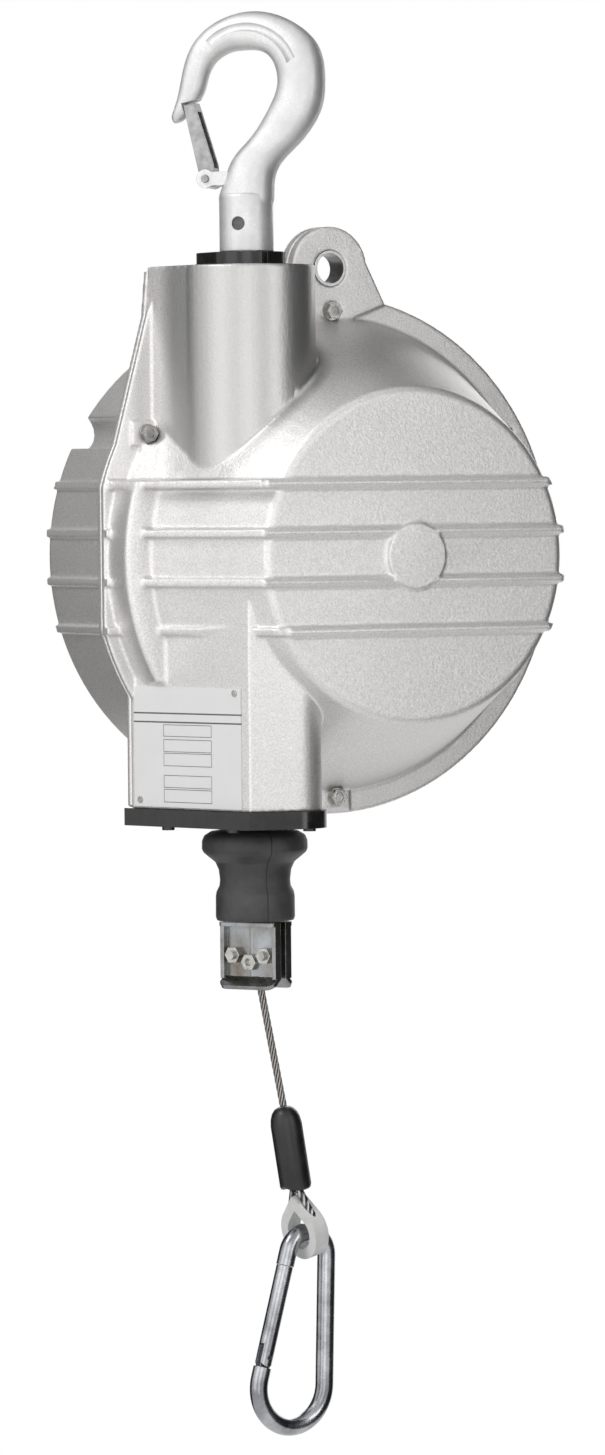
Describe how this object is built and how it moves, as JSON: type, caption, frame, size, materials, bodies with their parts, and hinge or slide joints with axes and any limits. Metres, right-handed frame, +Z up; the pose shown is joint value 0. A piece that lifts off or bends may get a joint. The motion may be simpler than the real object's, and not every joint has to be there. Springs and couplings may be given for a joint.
{
  "type": "spring balancer",
  "caption": "Hanging spring balancer with a cast two-part casing, swivel safety hook, rope drum inside, rubber stop, rope clamp and spring hook on a short rope tail.",
  "frame": {"origin": "the hook's seat, where the ring or beam shackle bears, on the swivel and rope axis", "axes": "+Z up along the swivel axis, +Y to the back along the drum axle, +X to the right towards the drum"},
  "size_m": [0.3415, 0.2277, 0.9426],
  "materials": {
    "cast_aluminium": "satin cast, fine grain",
    "turned_steel": "turned",
    "zinc_steel": "zinc plated",
    "black_plastic": "glossy",
    "black_screw": "blackened",
    "plate_foil": "white printed plate",
    "dark_steel": "oiled",
    "galvanised_forging": "galvanised, slightly rough",
    "wire_rope": "stranded",
    "rubber": "matt",
    "zinc_sheet": "bright zinc",
    "sleeve_rubber": "smooth",
    "white_nylon": "smooth",
    "polished_zinc": "polished"
  },
  "bodies": {
    "casing": {"front_casing": "cast_aluminium", "rear_casing": "cast_aluminium", "lug_bush": "turned_steel", "casing_bolts": "zinc_steel", "casing_washers": "zinc_steel", "casing_nuts": "zinc_steel", "bottom_cover": "black_plastic", "bottom_cover_screws": "black_screw", "rope_guide_bush": "black_plastic", "nameplate": "plate_foil", "nameplate_rivets": "zinc_steel", "hook_cap": "black_plastic", "thrust_bearing": "turned_steel", "drum_axle": "turned_steel", "drum_bearings": "turned_steel", "spring_case": "dark_steel", "power_spring": "dark_steel"},
    "hook": {"suspension_hook": "galvanised_forging", "hook_cross_pin": "dark_steel", "latch_pin": "galvanised_forging", "swivel_stem": "turned_steel", "stem_nut": "zinc_steel"},
    "latch": {"hook_latch": "galvanised_forging"},
    "drum": {"rope_drum": "cast_aluminium", "rope_windings": "wire_rope"},
    "load": {"rope_upper": "wire_rope", "rubber_bumper": "rubber", "clamp_plate_front": "zinc_sheet", "clamp_plate_rear": "zinc_sheet", "clamp_bolts": "zinc_steel", "clamp_nuts": "zinc_steel", "rope_tail": "wire_rope", "ferrule_sleeve": "sleeve_rubber", "thimble": "white_nylon", "rope_eye": "wire_rope"},
    "snap": {"carabiner_frame": "polished_zinc", "gate_pin": "polished_zinc"},
    "snap_gate": {"carabiner_gate": "polished_zinc"}
  },
  "joints": [
    {"name": "hook_swivel", "type": "hinge", "parent": "casing", "child": "hook", "pos_m": [0, 0, -0.15], "axis": [0, 0, 1], "continuous": true},
    {"name": "hook_latch_pivot", "type": "hinge", "parent": "hook", "child": "latch", "pos_m": [-0.01737, 0.01798, -0.084], "axis": [0.7193, 0.6947, 0], "range_deg": [0, 32], "stiffness_Nm_per_rad": 0.08, "springref_deg": -28.65},
    {"name": "load_slide", "type": "slide", "parent": "casing", "child": "load", "axis": [0, 0, -1], "range_m": [0, 2], "stiffness_N_per_m": 15, "springref_m": -2.5, "deforming": ["rope_upper"]},
    {"name": "drum_spin", "type": "hinge", "parent": "casing", "child": "drum", "pos_m": [0.0805, 0, -0.333], "axis": [0, -1, 0], "range_deg": [-1, 1456]},
    {"name": "snap_swing", "type": "hinge", "parent": "load", "child": "snap", "pos_m": [0.0405, 0.0006, -0.7824], "axis": [0.9903, 0.1392, 0], "range_deg": [-28, 28]},
    {"name": "snap_gate_pivot", "type": "hinge", "parent": "snap", "child": "snap_gate", "pos_m": [0.00284, -0.00469, -0.86284], "axis": [-0.1392, 0.9903, 0], "range_deg": [0, 20], "stiffness_Nm_per_rad": 0.15, "springref_deg": -28.65}
  ],
  "couplings": [
    {"joint": "drum_spin", "follows": "load_slide", "rad_per_m": 12.69}
  ]
}
